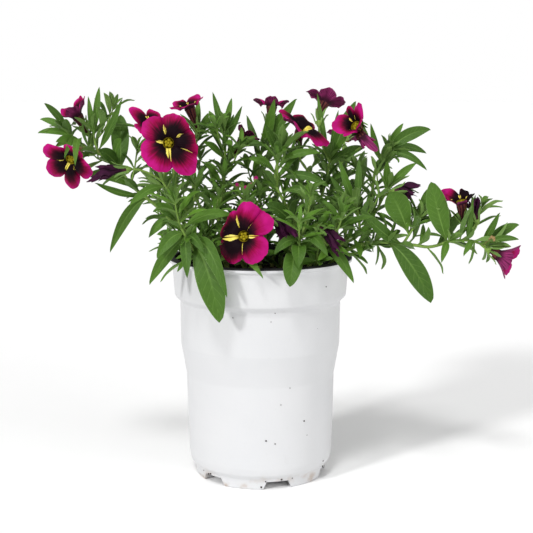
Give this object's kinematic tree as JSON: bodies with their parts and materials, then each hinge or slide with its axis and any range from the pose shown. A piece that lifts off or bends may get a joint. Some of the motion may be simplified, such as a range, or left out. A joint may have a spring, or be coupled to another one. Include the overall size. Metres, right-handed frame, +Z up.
{
  "type": "potted calibrachoa",
  "caption": "Calibrachoa plant with funnel-shaped five-lobed flowers and narrow leaves, spreading over the rim of a round nursery pot.",
  "frame": {"origin": "on the ground under the middle of the whole plant's footprint", "axes": "+Z up, +X to the right along the widest spread of the plant, -Y towards the side seen from the front"},
  "size_m": [0.2772, 0.1642, 0.229],
  "materials": {
    "pot_plastic": "white outside, black inside, satin",
    "potting_mix": "loose, matt, crumbly",
    "foliage": "soft, slightly hairy green leaves and stems",
    "petals": "velvety magenta with a near-black centre and yellow wedges",
    "wilted_petals": "shrivelled, dark purple, matt"
  },
  "bodies": {
    "root": {"pot": "pot_plastic", "soil": "potting_mix", "stem_left_arch": "foliage", "stem_left_rosette": "foliage", "stem_left_flower": "foliage", "stem_centre_left": "foliage", "stem_centre_right": "foliage", "stem_front": "foliage", "stem_front_flower": "foliage", "stem_right_front": "foliage", "stem_right_mid": "foliage", "stem_right_tall": "foliage", "stem_right_trail": "foliage", "stem_top_left": "foliage", "stem_top_centre": "foliage", "stem_top_right": "foliage", "stem_back_left": "foliage", "stem_back": "foliage", "stem_back_right": "foliage", "stem_back_upright": "foliage", "bloom_left_large": "petals", "bloom_left_behind": "petals", "bloom_left_tip": "petals", "bloom_left_low": "petals", "bloom_top_left": "petals", "bloom_top_centre": "petals", "bloom_top_facing": "petals", "bloom_top_right": "petals", "bloom_right_oblique": "petals", "bloom_right_drooping": "petals", "bloom_hidden": "petals", "bloom_front": "petals", "bloom_right_half": "petals", "bloom_right_tip": "petals", "bloom_back_left": "petals", "bloom_back": "petals", "bloom_back_right": "petals", "wilted_left": "wilted_petals", "wilted_front": "wilted_petals", "wilted_front_right": "wilted_petals", "wilted_right": "wilted_petals", "wilted_right_trail": "wilted_petals"}
  },
  "joints": []
}
